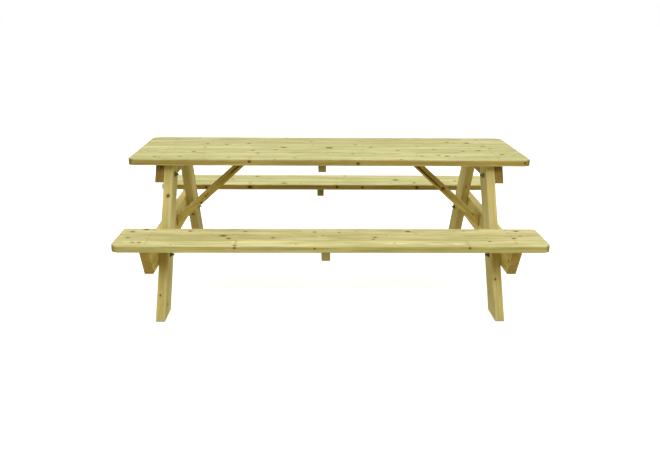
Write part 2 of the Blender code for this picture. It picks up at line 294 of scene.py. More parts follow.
def fill_cap(outline, rim, holes, checks):
    """The flat of a timber's face: its points, how far each is sunk, its triangles and its holes' points."""
    points, sunk, edges = [], [], []

    def add(new, loop=None, depth=0.0):
        """Adds points, joined as a loop (True), as a line (False) or not at all; returns their numbers."""
        first = sum(len(part) for part in points)
        points.append(new)
        sunk.append(np.broadcast_to(depth, len(new)))
        if loop is not None:
            links = len(new) if loop else len(new) - 1
            edges.extend((first + k, first + (k + 1) % len(new)) for k in range(links))
        return range(first, first + len(new))

    add(rim, loop=True)
    mouths = [add(hole.ring(hole.rim), loop=True) for hole in holes]
    for check in checks:
        *lips, middle, depth = check.lines()
        bed = add(middle, loop=False, depth=depth)
        for lip in lips:
            side = add(lip, loop=False)
            edges += [(bed[0], side[0]), (side[-1], bed[-1])]
    low, high = rim.min(axis=0), rim.max(axis=0)
    columns = max(2, round((high[0] - low[0]) / FACE_STEP_ALONG))
    rows = max(2, round((high[1] - low[1]) / FACE_STEP_ACROSS))
    grid_u, grid_v = np.meshgrid(np.linspace(low[0], high[0], columns), np.linspace(low[1], high[1], rows))
    grid_u = grid_u + (np.arange(rows) % 2)[:, None] * (high[0] - low[0]) / columns / 2
    inner = np.stack([grid_u.ravel(), grid_v.ravel()], axis=1)
    inner = inner[depth_inside(outline, inner) > BORDER + 0.4 * FACE_STEP_ACROSS]
    inner = np.concatenate([inner, border_points(outline)])
    for hole in holes:
        inner = inner[hole.away(inner) > hole.rim + 1.5 * MM]
    for check in checks:
        inner = inner[nearest(inner, check.lines()[2]) > check.width + 2.0 * MM]
    add(inner)
    flat = np.concatenate(points)
    _, _, faces, origins, *_ = delaunay_2d_cdt([Vector(point) for point in flat], edges, [], 1, 1e-8)
    numbers = [origin[0] if len(origin) else -1 for origin in origins]
    triangles = []
    for face in faces:
        ids = [numbers[k] for k in face]
        centre = flat[ids].mean(axis=0)
        if -1 not in ids and all(hole.away(centre) >= 0.999 * hole.rim for hole in holes):
            triangles.append(ids)
    return flat[len(rim):], np.concatenate(sunk)[len(rim):], triangles, mouths


def border_points(outline):
    """Points just inside a face's rim, which keep the shading of the flat from bending at its edge."""
    side = np.roll(outline, -1, axis=0) - np.roll(outline, 1, axis=0)
    side /= np.linalg.norm(side, axis=1)[:, None]
    points = outline + BORDER * np.stack([-side[:, 1], side[:, 0]], axis=1)
    kept = []
    for point in points[depth_inside(outline, points) > 0.9 * BORDER]:
        if not kept or np.linalg.norm(point - kept[-1]) > 0.3 * BORDER:
            kept.append(point)
    return np.array(kept)


class Skin:
    """The points and faces of a mesh in the making, with marks of what each point is like, from 0 to 1."""

    def __init__(self):
        self.points, self.faces, self.total = [], [], 0
        self.marks = {name: [] for name in ("worn", "end", "edge", "torn")}

    def add(self, flat, level, **marks):
        """Adds flat points at a level, or each at its own; returns their numbers."""
        self.points.append(np.column_stack([flat, np.broadcast_to(level, len(flat))]))
        for name, values in self.marks.items():
            values.append(np.broadcast_to(marks.get(name, 0.0), len(flat)))
        self.total += len(flat)
        return range(self.total - len(flat), self.total)


def side_rows(timber, size):
    """The rows of points down a timber's sides: how far in they lie, their level and how worn they are."""
    arris = []
    for step in range(ARRIS_STEPS + 1):
        angle = math.pi / 2 * step / ARRIS_STEPS
        worn = 1.0 if 0 < step < ARRIS_STEPS else 0.6
        arris.append((size * (1 - math.cos(angle)), size * (1 - math.sin(angle)), worn))
    rows = [(inset, timber.top - drop, worn) for inset, drop, worn in reversed(arris)]
    for step in range(1, SIDE_ROWS + 1):
        share = step / (SIDE_ROWS + 1)
        rows.append((0 * size, (timber.top - size) * (1 - share) + (timber.bottom + size) * share, 0.0))
    return rows + [(inset, timber.bottom + drop, worn) for inset, drop, worn in arris]


def add_caps(skin, timber, outline, rings):
    """Closes both faces of a timber; returns the points of each hole's mouth by hole and face."""
    mouths = {}
    for side, level, row in ((1, timber.top, 0), (-1, timber.bottom, len(rings) - 1)):
        holes = [hole for hole in timber.holes if hole.through or hole.side == side]
        checks = timber.checks if side > 0 else []
        inner, sunk, triangles, hole_rims = fill_cap(outline, skin.points[row][:, :2], holes, checks)
        # painted shade: darker the deeper the bottom of a drying check lies
        added = skin.add(inner, level - side * sunk, torn=np.minimum(1.0, sunk / MM))
        numbers = [*rings[row], *added]
        skin.faces += [[numbers[k] for k in triangle][::side] for triangle in triangles]
        for hole, ids in zip(holes, hole_rims):
            mouths[hole, side] = [numbers[k] for k in ids]
    return mouths


def add_bore(skin, timber, hole, mouths):
    """The wall of a hole, and its bottom where it doesn't go through."""
    level = timber.top if hole.side > 0 else timber.bottom
    loops = [mouths[hole, hole.side]]
    for radius, depth in hole.profile[1:-1] if hole.through else hole.profile[1:]:
        # painted shade on the walls of bores
        loops.append(skin.add(hole.ring(radius), level - hole.side * depth, worn=0.3, end=0.5, torn=0.3))
    if hole.through:
        loops.append(mouths[hole, -hole.side])
    for pair in zip(loops, loops[1:]):
        skin.faces += band(*pair[::hole.side])
    if not hole.through:
        skin.faces.append(list(loops[-1][::hole.side]))


def timber_mesh(timber):
    """A closed mesh of a timber, with marks of wear on its points."""
    seed = timber.random.uniform(0, 500)
    outline, normals, corner = rounded(timber.corners, timber.radii, STEP_ALONG)
    wear = np.array([wander(point, WEAR_SCALE, seed) for point in outline]) - 0.5
    nick = np.array([wander(point, NICK_SCALE, seed + 9) for point in outline])
    size = ARRIS_RADIUS * (1 + ARRIS_WEAR * 2 * wear + 0.5 * np.clip(nick - NICK_LEVEL, 0, 1))
    size = np.clip(size, 0.4 * ARRIS_RADIUS, EDGE_RADIUS * 0.95)
    ends = np.clip((np.abs(normals[:, 0]) - 0.35) / 0.3, 0, 1)
    flank = np.clip((np.abs(normals[:, 1]) - 0.5) / 0.3, 0, 1)
    skin = Skin()
    rings = [
        skin.add(outline - inset[:, None] * normals, level, worn=np.maximum(worn, corner * 0.9), end=ends,
                 edge=flank * (1.0 if worn < 0.6 else 0.5))
        for inset, level, worn in side_rows(timber, size)
    ]
    for upper, lower in zip(rings, rings[1:]):
        skin.faces += band(upper, lower)
    mouths = add_caps(skin, timber, outline, rings)
    for hole in timber.holes:
        add_bore(skin, timber, hole, mouths)
    points = np.concatenate(skin.points)
    half_width = np.abs(timber.corners[:, 1]).max()
    for point in points:
        u, v, w = point
        point[2] -= LEVEL_WANDER * w / timber.top * wander((u, v), LEVEL_SCALE, seed + 31)
        point[1] -= EDGE_WANDER * v / half_width * wander((u, w), EDGE_SCALE, seed + 57)
    trim = [timber.random.uniform(0.25, 1.0) * END_WANDER for _ in range(2)]
    reach = timber.corners[:, 0].max()
    points[:, 0] -= np.where(points[:, 0] > 0, trim[0], -trim[1]) * np.abs(points[:, 0]) / reach
    mesh = new_mesh(timber.node + "_timber", timber.world(points).tolist(), skin.faces, TIMBER_CREASE)
    for name, values in skin.marks.items():
        mesh.attributes.new(name, "FLOAT", "POINT").data.foreach_set("value", np.concatenate(values))
    return mesh


def shown(name, mesh, slot_name, *nodes):
    """Puts a mesh in the scene as a piece of the table that stands for CAD nodes."""
    piece = new_object(name, mesh)
    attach(piece, "root")
    if nodes:
        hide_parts(*nodes)
    return piece


# ------------ materials

class Nodes:
    """Short calls that make a node tree."""

    def __init__(self, tree):
        self.tree = tree

    def add(self, kind, *inputs, given=(), **settings):
        """A node with its settings, and with its inputs given in order or by name."""
        node = self.tree.nodes.new(kind)
        for key, value in settings.items():
            setattr(node, key, value)
        for index, value in enumerate(inputs):
            self.set(node.inputs[index], value)
        self.fill(node.inputs, dict(given))
        return node

    def set(self, socket, value):
        if isinstance(value, bpy.types.NodeSocket):
            self.tree.links.new(value, socket)
        else:
            socket.default_value = value

    def fill(self, sockets, values):
        for name, value in values.items():
            self.set(sockets[name], value)

    def math(self, operation, *inputs, clamp=False):
        return self.add("ShaderNodeMath", *inputs, operation=operation, use_clamp=clamp).outputs[0]

    def times(self, first, second):
        return self.math("MULTIPLY", first, second)

    def line(self, value, slope, start):
        return self.math("MULTIPLY_ADD", value, slope, start)

    def vector(self, operation, *inputs):
        node = self.add("ShaderNodeVectorMath", *inputs, operation=operation)
        return node.outputs["Value" if operation == "LENGTH" else "Vector"]

    def noise(self, place, stretch, detail=2.0, roughness=0.5):
        given = {"Vector": self.vector("MULTIPLY", place, stretch), "Scale": 1.0, "Detail": detail,
                 "Roughness": roughness}
        return self.add("ShaderNodeTexNoise", noise_dimensions="3D", given=given).outputs["Fac"]

    def span(self, value, low, high, to_low=0.0, to_high=1.0):
        """A smooth step of a value from one span to another."""
        given = {"Value": value, "From Min": low, "From Max": high, "To Min": to_low, "To Max": to_high}
        node = self.add("ShaderNodeMapRange", interpolation_type="SMOOTHSTEP", given=given)
        return node.outputs["Result"]

    def mix(self, factor, first, second, blend="MIX"):
        node = self.add("ShaderNodeMix", data_type="RGBA", blend_type=blend)
        for index, value in ((0, factor), (6, first), (7, second)):
            self.set(node.inputs[index], value)
        return node.outputs[2]

    def tint(self, colour, other):
        return self.mix(1.0, colour, other, "MULTIPLY")

    def attribute(self, name, output="Fac"):
        return self.add("ShaderNodeAttribute", attribute_name=name).outputs[output]

    def bump(self, strength, distance, height):
        given = {"Strength": strength, "Distance": distance, "Height": height}
        return self.add("ShaderNodeBump", given=given).outputs["Normal"]


def new_group(name, inputs, outputs):
    """A node group, with the names of its inputs and outputs by kind of socket."""
    tree = bpy.data.node_groups.new(name, "ShaderNodeTree")
    for in_out, sockets in (("INPUT", inputs), ("OUTPUT", outputs)):
        for kind, labels in sockets.items():
            for label in labels:
                tree.interface.new_socket(label, in_out=in_out, socket_type="NodeSocket" + kind)
    return Nodes(tree), tree.nodes.new("NodeGroupInput").outputs, tree.nodes.new("NodeGroupOutput").inputs


def knot_group():
    """How far a place is from a knot, in knot radii, and how much the grain swells round it."""
    nodes, given, result = new_group(
        "knot", {"Vector": ("Place", "Centre", "Reach")}, {"Float": ("Distance", "Flow")})
    offset = nodes.vector("SUBTRACT", given["Place"], given["Centre"])
    scaled = nodes.vector("MULTIPLY", offset, given["Reach"])
    nodes.set(result["Distance"], nodes.vector("LENGTH", scaled))
    wide = nodes.vector("LENGTH", nodes.vector("MULTIPLY", scaled, (0.28, 0.60, 0.60)))
    spread = nodes.line(wide, wide, 1.0)
    nodes.set(result["Flow"], nodes.math("DIVIDE", 1.0, nodes.times(spread, spread)))
    return nodes.tree


# Colours of the pressure-treated pine
EARLY_WOOD = (0.560, 0.520, 0.200, 1.0)
PALE_WOOD = (0.660, 0.640, 0.290, 1.0)
LATE_WOOD = (0.360, 0.275, 0.075, 1.0)
GREEN_WOOD = (0.450, 0.480, 0.160, 1.0)
KNOT_WOOD = (0.120, 0.066, 0.015, 1.0)
KNOT_HEART = (0.250, 0.140, 0.036, 1.0)
KNOT_RIM = (0.048, 0.028, 0.008, 1.0)
KNOT_HALO = (0.330, 0.220, 0.045, 1.0)
END_TINT = (0.56, 0.49, 0.37, 1.0)
WORN_WOOD = (0.660, 0.570, 0.260, 1.0)
# painted shade at the bottom of drying checks and on the walls of bores
HOLLOW_SHADE_TINT = (0.22, 0.17, 0.10, 1.0)

# The settings of each kind of timber: tone, stain, contrast of the figure, tint of its faces, and tint of
# its edges where that is another. Several tones and tints are painted light and painted shade, noted at each
# kind
WHITE = (1.0, 1.0, 1.0, 1.0)
FRAME_TINT = (1.02, 0.89, 0.71, 1.0)
LEG_EDGE_TINT = (0.99, 0.86, 0.69, 1.0)
TIMBER_TONES_AND_PAINTED_LIGHT = {
    # painted shade: the edge tints of the three board rows darken the boards' upright narrow sides, which
    # get less of the light from above than the tops; the rear seat's edge, under the tabletop, is darkest
    "tabletop": (0.985, 0.6, 1.0, (1.0, 1.0, 0.95, 1.0), (0.67, 0.53, 0.30, 1.0)),
    "front_seat": (1.03, 0.6, 1.0, (1.05, 1.0, 1.0, 1.0), (0.77, 0.74, 0.62, 1.0)),
    # painted light: the rear seat's higher tone brightens it to make up for the light the tabletop keeps off
    # it
    "rear_seat": (1.18, 0.6, 1.0, WHITE, (0.68, 0.51, 0.27, 1.0)),
    # painted light and shade: the front legs' faces are tinted brighter, and the rear legs, shaded by the
    # tabletop, get a lower tone and a warmer tint, so the two are lit and shaded copies of one wood
    "leg_front": (1.0, 0.8, 0.6, (1.14, 1.08, 1.08, 1.0), LEG_EDGE_TINT),
    "leg_rear": (0.87, 0.8, 0.6, (1.06, 0.94, 0.72, 1.0), LEG_EDGE_TINT),
    "spacer": (0.95, 0.9, 1.0, FRAME_TINT),
    # painted shade: the top bearers' low tone and dark warm tint stand for the tabletop's shadow on them
    "top_bearer": (0.92, 0.9, 1.0, (0.95, 0.73, 0.42, 1.0)),
    # painted light: the seat bearers' high tone brightens them where they sit in the seat's shade
    "seat_bearer": (1.32, 0.9, 1.0, FRAME_TINT),
    "brace": (1.04, 0.7, 1.0, (0.96, 0.79, 0.44, 1.0)),
    # painted light: the battens' bright, bluish tint lifts them where they sit in shade under the boards
    "batten": (1.0, 0.8, 1.0, (1.12, 1.12, 1.22, 1.0)),
}
# Boards that are darker than the rest of their row
BOARD_TONES = {"tabletop_board_6": 0.93, "tabletop_board_7": 0.90}


def late_wood(nodes, given, noise_at):
    """How much of each place is the dark late wood of a growth ring."""
    place = given["Place"]
    slow = nodes.math("SUBTRACT", noise_at(1.7, 8.0, 1.0), 0.5)
    quick = nodes.math("SUBTRACT", noise_at(9.0, 70.0, 2.0), 0.5)
    split = nodes.add("ShaderNodeSeparateXYZ", place)
    along = nodes.vector("MULTIPLY", given["Tilt"], split.outputs["X"])
    centre = nodes.vector("ADD", given["Pith"], along)
    across = nodes.vector("MULTIPLY", nodes.vector("SUBTRACT", place, centre), (0.0, 1.0, 1.0))
    radius = nodes.line(slow, 0.022, nodes.vector("LENGTH", across))
    radius = nodes.math("ADD", nodes.line(quick, 0.0024, radius), given["Flow"])
    rings = nodes.math("DIVIDE", radius, given["Ring width"])
    phase = nodes.math("FRACT", rings)
    year = nodes.add("ShaderNodeTexWhiteNoise", noise_dimensions="1D",
                     given={"W": nodes.math("FLOOR", rings)}).outputs["Value"]
    late = nodes.times(nodes.span(phase, 0.35, 0.90), nodes.span(phase, 1.0, 0.93))
    return nodes.times(late, nodes.line(year, 0.55, 0.45))


def clear_wood(nodes, given, noise_at, late, end, fibre, streak):
    """The colour of the wood between its knots."""
    times, span, mix = nodes.times, nodes.span, nodes.mix
    cloud = noise_at(2.6, 13.0, 2.0, 0.55)
    colour = mix(span(cloud, 0.30, 0.70), EARLY_WOOD, PALE_WOOD)
    colour = mix(times(span(cloud, 0.62, 0.30), given["Stain"]), colour, GREEN_WOOD)
    contrast = times(nodes.line(end, 0.15, 0.58), given["Contrast"])
    colour = mix(times(late, contrast), colour, LATE_WOOD)
    shade = times(nodes.math("SUBTRACT", span(streak, 0.28, 0.62), 0.72), 0.40)
    grain = nodes.line(shade, given["Contrast"], 0.99)
    grain = times(times(grain, nodes.line(fibre, 0.26, 0.87)), given["Tone"])
    tone = nodes.add("ShaderNodeCombineXYZ", grain, grain, grain).outputs[0]
    dash = span(noise_at(11.0, 190.0, 1.0), 0.66, 0.78)
    return mix(times(dash, 0.55), nodes.tint(colour, tone), KNOT_HALO)


def figure_group():
    """The figure of a piece of pine: growth rings, fibres, streaks, stain, knots, ends and worn edges."""
    nodes, given, result = new_group(
        "pine_figure",
        {"Vector": ("Place", "Seed", "Pith", "Tilt"),
         "Float": ("Ring width", "Knot", "Flow", "Tone", "Stain", "Contrast"),
         "Color": ("Edge tint", "Face tint")},
        {"Color": ("Colour",), "Float": ("Roughness", "Height")})
    times, line, span, mix, tint = nodes.times, nodes.line, nodes.span, nodes.mix, nodes.tint
    own = nodes.vector("ADD", given["Place"], given["Seed"])

    def noise_at(along, across, detail, roughness=0.5):
        return nodes.noise(own, (along, across, across), detail, roughness)

    late = late_wood(nodes, given, noise_at)
    fibre = noise_at(16.0, 620.0, 2.0, 0.6)
    streak = noise_at(4.0, 170.0, 3.0, 0.6)
    end = nodes.attribute("end")
    colour = clear_wood(nodes, given, noise_at, late, end, fibre, streak)

    ragged = line(nodes.math("SUBTRACT", noise_at(110.0, 150.0, 2.0), 0.5), 0.7, given["Knot"])
    core = span(ragged, 1.02, 0.86)
    rim = times(span(ragged, 0.66, 0.90), core)
    halo = times(span(ragged, 2.8, 0.9), 0.72)
    heart = nodes.math("FRACT", times(ragged, 4.6))
    knot = mix(times(heart, 0.75), KNOT_WOOD, KNOT_HEART)
    crack = span(noise_at(150.0, 420.0, 2.0), 0.57, 0.66)
    knot = mix(times(crack, 0.8), knot, KNOT_RIM)
    knot = mix(times(rim, 0.8), knot, KNOT_RIM)
    colour = mix(times(halo, halo), colour, KNOT_HALO)
    colour = mix(core, colour, knot)

    # The face and edge tints carry painted light and painted shade for some kinds of timber
    colour = tint(colour, mix(nodes.attribute("edge"), given["Face tint"], given["Edge tint"]))
    worn = times(nodes.attribute("worn"), span(noise_at(30.0, 60.0, 3.0), 0.35, 0.7))
    colour = mix(times(worn, 0.45), colour, WORN_WOOD)
    colour = mix(end, colour, tint(colour, END_TINT))
    # painted shade in drying checks and bores
    nodes.set(result["Colour"], mix(nodes.attribute("torn"), colour, tint(colour, HOLLOW_SHADE_TINT)))

    rough = line(core, 0.10, line(fibre, 0.14, line(late, -0.12, 0.66)))
    nodes.set(result["Roughness"], nodes.math("MULTIPLY_ADD", end, 0.12, rough, clamp=True))
    height = line(streak, 0.35, line(late, 0.55, times(fibre, 0.40)))
    nodes.set(result["Height"], line(rim, -0.6, line(core, 0.40, height)))
    return nodes.tree


def new_material(name, specular_level):
    """A material with a bare Principled shader; returns it, its node maker and its shader's inputs."""
    material = bpy.data.materials.new(name)
    material.use_nodes = True
    inputs = material.node_tree.nodes["Principled BSDF"].inputs
    inputs["Specular IOR Level"].default_value = specular_level
    return material, Nodes(material.node_tree), inputs


def pine_material(timber, finish):
    """The timber's own material, with its pith, its ring width and its knots."""
    # the tone and tints of some kinds of timber are painted light and painted shade
    tone, stain, contrast, *tints = TIMBER_TONES_AND_PAINTED_LIGHT[finish]
    draw = timber.random
    material, nodes, shader = new_material(timber.node + "_pine", 0.42)
    place = nodes.attribute("grain", "Vector")
    nearest_knot, flow = 9.0, 0.0
    for centre, reach, radius in timber.knots:
        knot = nodes.add("ShaderNodeGroup", place, centre, reach, node_tree=KNOT).outputs
        nearest_knot = nodes.math("MINIMUM", nearest_knot, knot["Distance"])
        flow = nodes.line(knot["Flow"], 1.1 * radius, flow)
    side = draw.choice((-1, 1))
    flat_sawn = draw.random() < 0.7
    pith = (0.0, draw.uniform(-0.035, 0.035), side * draw.uniform(0.050, 0.110))
    if not flat_sawn:
        pith = (0.0, side * draw.uniform(0.05, 0.11), draw.uniform(-0.06, 0.06))
    figure = nodes.add("ShaderNodeGroup", node_tree=FIGURE, given={
        "Place": place, "Seed": [draw.uniform(0, 40) for _ in range(3)], "Pith": pith,
        "Tilt": (0.0, draw.uniform(-0.012, 0.012), draw.uniform(-0.022, 0.022)),
        "Ring width": draw.uniform(0.0028, 0.0046), "Knot": nearest_knot, "Flow": flow,
        "Tone": tone * BOARD_TONES.get(timber.node, 1.0) * draw.uniform(0.94, 1.06),
        "Stain": stain * draw.uniform(0.3, 1.0), "Contrast": contrast,
        "Face tint": tints[0], "Edge tint": tints[-1],
    }).outputs
    nodes.fill(shader, {"Base Color": figure["Colour"], "Roughness": figure["Roughness"],
                        "Normal": nodes.bump(0.65, 0.7 * MM, figure["Height"])})
    return material


def steel_material(name, bright, dull, roughness):
    """Zinc-plated steel, clouded and a little stained."""
    material, nodes, shader = new_material(name, 0.5)
    place = nodes.add("ShaderNodeTexCoord").outputs["Object"]
    cloud = nodes.noise(place, (260.0, 260.0, 260.0), 3.0, 0.6)
    crystal = nodes.add("ShaderNodeTexVoronoi", feature="F1", given={"Vector": place, "Scale": 420.0})
    spangle = nodes.span(crystal.outputs["Distance"], 0.1, 0.8)
    colour = nodes.mix(nodes.span(cloud, 0.35, 0.68), bright, dull)
    nodes.fill(shader, {
        "Base Color": nodes.mix(nodes.times(spangle, 0.25), colour, dull),
        "Metallic": 1.0,
        "Roughness": nodes.line(spangle, 0.08, nodes.line(cloud, 0.22, roughness)),
        "Normal": nodes.bump(0.35, 0.1 * MM, nodes.math("ADD", cloud, spangle)),
    })
    return material


KNOT = knot_group()
FIGURE = figure_group()
ZINC = steel_material("zinc_plate", (0.30, 0.25, 0.14, 1.0), (0.15, 0.12, 0.06, 1.0), 0.34)
COATED = steel_material("coated_screw", (0.36, 0.29, 0.13, 1.0), (0.24, 0.19, 0.09, 1.0), 0.38)


# ------------ timbers

# The knots that stand out: place along the timber from its middle, place across its wide face as a share
# of its width, and radius in millimetres. U and V point to +X and +Y on the boards, up and across on a leg,
# to the head of the right brace and to the foot of the left one.
FACE_KNOTS = {
    "tabletop_board_1": ((-0.90, 0.3, 7), (-0.77, 0.3, 6), (-0.52, 0.2, 6), (-0.18, 0.15, 6),
        (0.36, -0.3, 6)),
    "tabletop_board_2": ((-0.38, 0.35, 8), (0.12, 0.2, 8), (0.48, -0.35, 7), (0.57, -0.1, 8),
        (0.61, -0.35, 10), (0.91, 0.15, 10)),
    "tabletop_board_3": ((-0.72, -0.3, 9), (-0.41, 0.15, 8), (-0.29, 0.35, 8), (0.37, 0.35, 8),
        (0.72, 0.1, 9), (0.81, 0.35, 10)),
    "tabletop_board_4": ((-0.68, 0.1, 7), (-0.25, 0.1, 12), (0.23, 0.2, 8), (0.57, -0.35, 7),
        (0.89, -0.05, 8)),
    "tabletop_board_5": ((-0.68, 0.25, 8), (-0.57, -0.1, 8), (-0.45, 0.3, 9), (0.15, 0.0, 8),
        (0.49, -0.35, 7), (0.86, -0.35, 8)),
    "tabletop_board_6": ((-0.10, 0.1, 6), (0.68, -0.1, 9), (0.79, -0.3, 12)),
    "tabletop_board_7": ((-0.75, 0.1, 6), (-0.24, 0.2, 6), (0.52, 0.1, 6)),
    "front_seat_board_1": ((-0.93, 0.12, 6), (-0.90, 0.15, 7), (-0.45, -0.36, 7), (0.75, 0.35, 6)),
    "front_seat_board_2": ((-0.97, -0.1, 8), (-0.52, 0.26, 12), (-0.49, -0.2, 9), (-0.28, -0.1, 8),
                           (-0.04, 0.26, 5), (0.21, 0.0, 8), (0.20, -0.35, 6), (0.88, -0.16, 8),
                           (0.92, 0.25, 6)),
    "front_seat_board_3": ((-0.97, -0.1, 9), (-0.91, 0.35, 12), (-0.69, 0.05, 8), (-0.42, -0.05, 7),
                           (-0.08, -0.1, 7), (0.04, -0.15, 5), (0.38, 0.0, 9), (0.92, 0.1, 9)),
    "rear_seat_board_1": ((-0.27, 0.0, 11), (0.55, 0.2, 9)),
    "rear_seat_board_2": ((-0.60, 0.1, 8), (0.44, 0.0, 14), (0.82, -0.2, 8)),
    "rear_seat_board_3": ((-0.45, 0.0, 10), (0.12, 0.2, 8)),
    "brace_right": ((0.0, 0.0, 9),),
    "brace_left": ((0.11, -0.35, 7), (0.05, 0.0, 4)),
}
# Knots through a timber's narrow face: place along, place through its thickness in millimetres, radius
EDGE_KNOTS = {
    "tabletop_board_1": ((-0.41, 6, 6), (0.14, -3, 7), (0.99, 2, 5)),
    "front_seat_board_1": ((-0.45, 9, 5), (-0.08, 5, 4), (0.64, 9, 5)),
    "rear_seat_board_1": ((-0.75, -2, 6), (-0.48, 2, 9), (0.06, 3, 7), (0.22, 0, 6), (0.56, 1, 8)),
    "leg_left_front": ((0.19, 5, 8), (-0.32, -6, 4)),
    "leg_right_front": ((-0.24, -10, 5),),
    "leg_left_rear": ((-0.08, 4, 7),),
    "leg_right_rear": ((0.16, -5, 4),),
}
# Dark streaks of pith on a timber's wide face: place as for the knots, half length and half width in
# millimetres
STREAKS = {
    "brace_right": ((0.14, -0.12, 120, 5),),
    "brace_left": ((-0.20, 0.0, 70, 4),),
}


def add_knots(timber, spacing, largest, edge_share):
    """The knots that stand out on a timber, and smaller ones along it, through its wide face or its edge.

    A knot is a centre, one over its reach along each axis, and a radius.
    """
    length, width = timber.size()
    mid_u, mid_v = (timber.corners.max(axis=0) + timber.corners.min(axis=0)) / 2

    def add(along, share, through, radius, edge=False, half_length=None):
        run, aside = 0.85 / (half_length or radius), 1 / radius
        reach = (run, 0.0, aside) if edge else (run, aside, 0.0)
        timber.knots.append(((mid_u + along, mid_v + share * width, through), reach, radius))

    for along, share, radius in FACE_KNOTS.get(timber.node, ()):
        add(along, share, 0.0, radius * MM)
    for along, through, radius in EDGE_KNOTS.get(timber.node, ()):
        add(along, 0.0, through * MM, radius * MM, edge=True)
    for along, share, half_length, half_width in STREAKS.get(timber.node, ()):
        add(along, share, 0.0, half_width * MM, half_length=half_length * MM)
    draw = timber.random
    at = -length / 2 + spacing * draw.uniform(0.2, 0.9)
    while at < length / 2 - 0.03:
        radius = draw.triangular(2.0 * MM, largest, 0.5 * largest)
        edge = draw.random() < edge_share
        share, through = draw.uniform(-0.44, 0.44), 0.0
        if edge:
            share, through = 0.0, draw.uniform(-0.2, 0.2) * (timber.top - timber.bottom)
        add(at, share, through, radius, edge=edge)
        at += spacing * draw.uniform(0.45, 1.6)


def add_checks(timber, count, longest):
    """Drying checks near a timber's ends, clear of its holes, of its rim and of each other."""
    draw = timber.random
    length, width = timber.size()
    for _ in range(count):
        span = draw.uniform(0.35, 1.0) * longest
        u = draw.choice((-1, 1)) * (length / 2 - span / 2 - draw.uniform(0.012, 0.12))
        v = draw.uniform(-0.33, 0.33) * width
        check = Check(u, v, span, draw.uniform(0.5, 1.0) * MM, draw.uniform(2.0, 4.0) * MM,
                      draw.uniform(-1.5, 1.5) * MM)
        line = check.lines()[2]
        space = [depth_inside(timber.corners, line).min()]
        space += [hole.away(line).min() - hole.rim for hole in timber.holes]
        space += [nearest(line, other.lines()[2]).min() for other in timber.checks]
        if min(space) > CHECK_MARGIN:
            timber.checks.append(check)


def through_hole(timber, point, diameter, steps, ease):
    """A hole right through a timber, with eased rims."""
    radius, thickness = diameter / 2, timber.top - timber.bottom
    mouth = [(radius + ease, 0.0), (radius + 0.3 * ease, 0.3 * ease), (radius, ease)]
    far_mouth = [(ring, thickness - depth) for ring, depth in reversed(mouth)]
    timber.holes.append(
        Hole(timber.local(point)[:2], side=1, steps=steps, profile=mouth + far_mouth, through=True))


def screw_hole(timber, point, side, head):
    """A countersunk hole that a deck screw has pulled its head into."""
    rim = head / 2
    profile = [(rim + 0.8 * MM, 0.0), (rim + 0.35 * MM, 0.25 * MM), (rim + 0.2 * MM, 1.1 * MM),
               (rim - 1.6 * MM, 4.0 * MM)]
    timber.holes.append(Hole(timber.local(point)[:2], side, SCREW_HOLE_STEPS, profile))


def build_timber(timber, finish, slot_name="frame_timber", carve=()):
    piece = shown(timber.node + "_timber", timber_mesh(timber), slot_name, timber.node)
    if carve:
        carve_out(piece, carve)
    points = np.empty(len(piece.data.vertices) * 3)
    piece.data.vertices.foreach_get("co", points)
    grain = piece.data.attributes.new("grain", "FLOAT_VECTOR", "POINT")
    grain.data.foreach_set("vector", timber.local(points.reshape(-1, 3)).ravel())
    piece.data.materials.append(pine_material(timber, finish))


def carve_out(piece, recesses):
    """Cuts round recesses, given by their two ends, out of a piece."""
    for start, finish in recesses:
        rings = [plain(RECESS_RADIUS, height) for height in ((finish - start).length, 0.0)]
        cutter = new_object("recess", placed(lathe("recess", rings, RECESS_STEPS), start, finish - start))
        cutter.data.shade_flat()
        modifier = piece.modifiers.new("Recess", "BOOLEAN")
        modifier.operation = "DIFFERENCE"
        modifier.solver = "EXACT"
        modifier.object = cutter
    graph = bpy.context.evaluated_depsgraph_get()
    mesh = bpy.data.meshes.new_from_object(
        piece.evaluated_get(graph), preserve_all_data_layers=True, depsgraph=graph)
    for modifier in piece.modifiers:
        bpy.data.objects.remove(modifier.object, do_unlink=True)
    piece.modifiers.clear()
    piece.data = mesh


BEARER_LINES = [sum(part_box(f"top_bearer_{side}")[end][0] for end in (0, 1)) / 2 for side, _ in SIDES]


def lay_row(row, count, front_radius, rear_radius, support):
    """A row of boards, and the screws that hold them down on the bearers."""
    screws = []
    support_low, support_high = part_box(support)
    for number in range(1, count + 1):
        node = f"{row}_board_{number}"
        timber = Timber(node, (1, 0, 0), (0, 0, 1))
        low, high = np.array(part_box(node))
        timber.corners = SQUARE * (high - low)[:2] / 2
        front = front_radius if number == 1 else EDGE_RADIUS
        rear = rear_radius if number == count else EDGE_RADIUS
        timber.radii = [front, front, rear, rear]
        if node == "tabletop_board_4":
            through_hole(timber, (low + high) / 2, PARASOL_BORE, steps=64, ease=1.2 * MM)
        near = max(low[1] + SCREW_EDGE_DISTANCE, support_low[1] + SCREW_END_DISTANCE)
        far = min(high[1] - SCREW_EDGE_DISTANCE, support_high[1] - SCREW_END_DISTANCE)
        for x, y in product(BEARER_LINES, (near, far)):
            point = (x + timber.random.uniform(-4, 4) * MM, y + timber.random.uniform(-2, 2) * MM, high[2])
            screw_hole(timber, point, 1, DECK_SCREW["head"])
            screws.append((point, (0, 0, 1), timber.random.uniform(0, math.pi)))
        add_knots(timber, spacing=0.42, largest=5.0 * MM, edge_share=0.0)
        add_checks(timber, timber.random.choice((0, 1, 1)), longest=0.10)
        build_timber(timber, row, "board_timber")
    show_screws(row + "_deck_screws", screws, DECK_SCREW)


# ------------ steel

